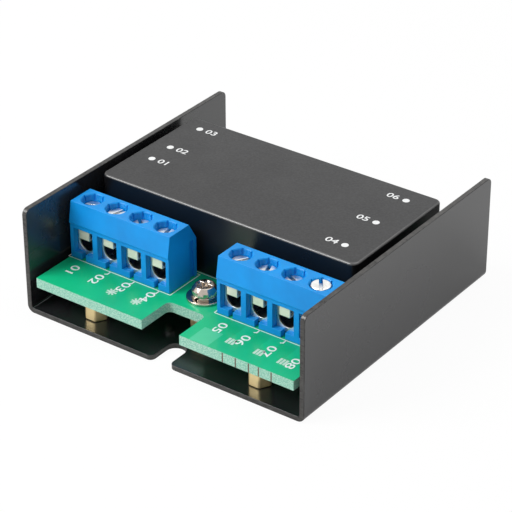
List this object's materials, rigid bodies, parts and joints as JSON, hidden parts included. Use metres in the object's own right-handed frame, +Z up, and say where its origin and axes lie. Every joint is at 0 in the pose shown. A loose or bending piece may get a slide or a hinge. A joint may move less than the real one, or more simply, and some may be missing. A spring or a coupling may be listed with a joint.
{
  "type": "chassis-mount dc-dc converter",
  "caption": "Potted dc-dc converter brick on a small board with screw terminal blocks, carried in a folded U-shaped metal chassis with open screw slots at front and rear.",
  "frame": {"origin": "centre of the footprint, on the underside of the chassis", "axes": "+X left to right along the terminal edge, +Y from the terminals to the rear, +Z up"},
  "size_m": [0.0556, 0.0536, 0.0192],
  "materials": {
    "chassis": "satin black",
    "board": "green solder mask",
    "brass": "machined",
    "screw": "bright plated",
    "case": "matte black",
    "resin": "matte",
    "pin": "tinned",
    "terminal": "blue moulding",
    "contact": "tinned",
    "leaf": "tinned",
    "clamp_screw": "zinc plated"
  },
  "bodies": {
    "converter_unit": {"chassis": "chassis", "circuit_board": "board", "support_pillar_left": "brass", "support_pillar_right": "brass", "standoff_centre": "brass", "flat_washer_centre": "screw", "lock_washer_centre": "screw", "board_screw_centre": "screw", "standoff_rear_left": "brass", "flat_washer_rear_left": "screw", "lock_washer_rear_left": "screw", "board_screw_rear_left": "screw", "standoff_rear_right": "brass", "flat_washer_rear_right": "screw", "lock_washer_rear_right": "screw", "board_screw_rear_right": "screw", "converter_case": "case", "converter_header": "resin", "converter_potting": "resin", "converter_pin_1": "pin", "converter_pin_2": "pin", "converter_pin_3": "pin", "converter_pin_4": "pin", "converter_pin_5": "pin", "converter_pin_6": "pin", "input_terminal_housing": "terminal", "input_contact_1": "contact", "input_contact_2": "contact", "input_contact_3": "contact", "input_contact_4": "contact", "output_terminal_housing": "terminal", "output_contact_1": "contact", "output_contact_2": "contact", "output_contact_3": "contact", "output_contact_4": "contact"},
    "input_clamp_1": {"input_clamp_leaf_1": "leaf"},
    "input_screw_1": {"input_clamp_screw_1": "clamp_screw"},
    "input_clamp_2": {"input_clamp_leaf_2": "leaf"},
    "input_screw_2": {"input_clamp_screw_2": "clamp_screw"},
    "input_clamp_3": {"input_clamp_leaf_3": "leaf"},
    "input_screw_3": {"input_clamp_screw_3": "clamp_screw"},
    "input_clamp_4": {"input_clamp_leaf_4": "leaf"},
    "input_screw_4": {"input_clamp_screw_4": "clamp_screw"},
    "output_clamp_1": {"output_clamp_leaf_1": "leaf"},
    "output_screw_1": {"output_clamp_screw_1": "clamp_screw"},
    "output_clamp_2": {"output_clamp_leaf_2": "leaf"},
    "output_screw_2": {"output_clamp_screw_2": "clamp_screw"},
    "output_clamp_3": {"output_clamp_leaf_3": "leaf"},
    "output_screw_3": {"output_clamp_screw_3": "clamp_screw"},
    "output_clamp_4": {"output_clamp_leaf_4": "leaf"},
    "output_screw_4": {"output_clamp_screw_4": "clamp_screw"}
  },
  "joints": [
    {"name": "input_clamp_1_slide", "type": "slide", "parent": "converter_unit", "child": "input_clamp_1", "axis": [0, 0, -1], "range_m": [-0.00117, 0.00135]},
    {"name": "input_screw_1_turn", "type": "hinge", "parent": "input_clamp_1", "child": "input_screw_1", "pos_m": [-0.02298, -0.01485, 0.014], "axis": [0, 0, -1], "range_deg": [-937, 1081]},
    {"name": "input_clamp_2_slide", "type": "slide", "parent": "converter_unit", "child": "input_clamp_2", "axis": [0, 0, -1], "range_m": [-0.00087, 0.00165]},
    {"name": "input_screw_2_turn", "type": "hinge", "parent": "input_clamp_2", "child": "input_screw_2", "pos_m": [-0.0179, -0.01485, 0.014], "axis": [0, 0, -1], "range_deg": [-697, 1321]},
    {"name": "input_clamp_3_slide", "type": "slide", "parent": "converter_unit", "child": "input_clamp_3", "axis": [0, 0, -1], "range_m": [-0.00122, 0.0013]},
    {"name": "input_screw_3_turn", "type": "hinge", "parent": "input_clamp_3", "child": "input_screw_3", "pos_m": [-0.01282, -0.01485, 0.014], "axis": [0, 0, -1], "range_deg": [-977, 1041]},
    {"name": "input_clamp_4_slide", "type": "slide", "parent": "converter_unit", "child": "input_clamp_4", "axis": [0, 0, -1], "range_m": [-0.00107, 0.00145]},
    {"name": "input_screw_4_turn", "type": "hinge", "parent": "input_clamp_4", "child": "input_screw_4", "pos_m": [-0.00774, -0.01485, 0.014], "axis": [0, 0, -1], "range_deg": [-857, 1161]},
    {"name": "output_clamp_1_slide", "type": "slide", "parent": "converter_unit", "child": "output_clamp_1", "axis": [0, 0, -1], "range_m": [-0.00107, 0.00145]},
    {"name": "output_screw_1_turn", "type": "hinge", "parent": "output_clamp_1", "child": "output_screw_1", "pos_m": [0.00724, -0.01485, 0.014], "axis": [0, 0, -1], "range_deg": [-857, 1161]},
    {"name": "output_clamp_2_slide", "type": "slide", "parent": "converter_unit", "child": "output_clamp_2", "axis": [0, 0, -1], "range_m": [-0.00102, 0.0015]},
    {"name": "output_screw_2_turn", "type": "hinge", "parent": "output_clamp_2", "child": "output_screw_2", "pos_m": [0.01232, -0.01485, 0.014], "axis": [0, 0, -1], "range_deg": [-817, 1201]},
    {"name": "output_clamp_3_slide", "type": "slide", "parent": "converter_unit", "child": "output_clamp_3", "axis": [0, 0, -1], "range_m": [-0.00112, 0.0014]},
    {"name": "output_screw_3_turn", "type": "hinge", "parent": "output_clamp_3", "child": "output_screw_3", "pos_m": [0.0174, -0.01485, 0.014], "axis": [0, 0, -1], "range_deg": [-897, 1121]},
    {"name": "output_clamp_4_slide", "type": "slide", "parent": "converter_unit", "child": "output_clamp_4", "axis": [0, 0, -1], "range_m": [0, 0.00252]},
    {"name": "output_screw_4_turn", "type": "hinge", "parent": "output_clamp_4", "child": "output_screw_4", "pos_m": [0.02248, -0.01485, 0.014], "axis": [0, 0, -1], "range_deg": [0, 2017]}
  ],
  "couplings": [
    {"joint": "input_screw_1_turn", "follows": "input_clamp_1_slide", "rad_per_m": 13963},
    {"joint": "input_screw_2_turn", "follows": "input_clamp_2_slide", "rad_per_m": 13963},
    {"joint": "input_screw_3_turn", "follows": "input_clamp_3_slide", "rad_per_m": 13963},
    {"joint": "input_screw_4_turn", "follows": "input_clamp_4_slide", "rad_per_m": 13963},
    {"joint": "output_screw_1_turn", "follows": "output_clamp_1_slide", "rad_per_m": 13963},
    {"joint": "output_screw_2_turn", "follows": "output_clamp_2_slide", "rad_per_m": 13963},
    {"joint": "output_screw_3_turn", "follows": "output_clamp_3_slide", "rad_per_m": 13963},
    {"joint": "output_screw_4_turn", "follows": "output_clamp_4_slide", "rad_per_m": 13963}
  ]
}
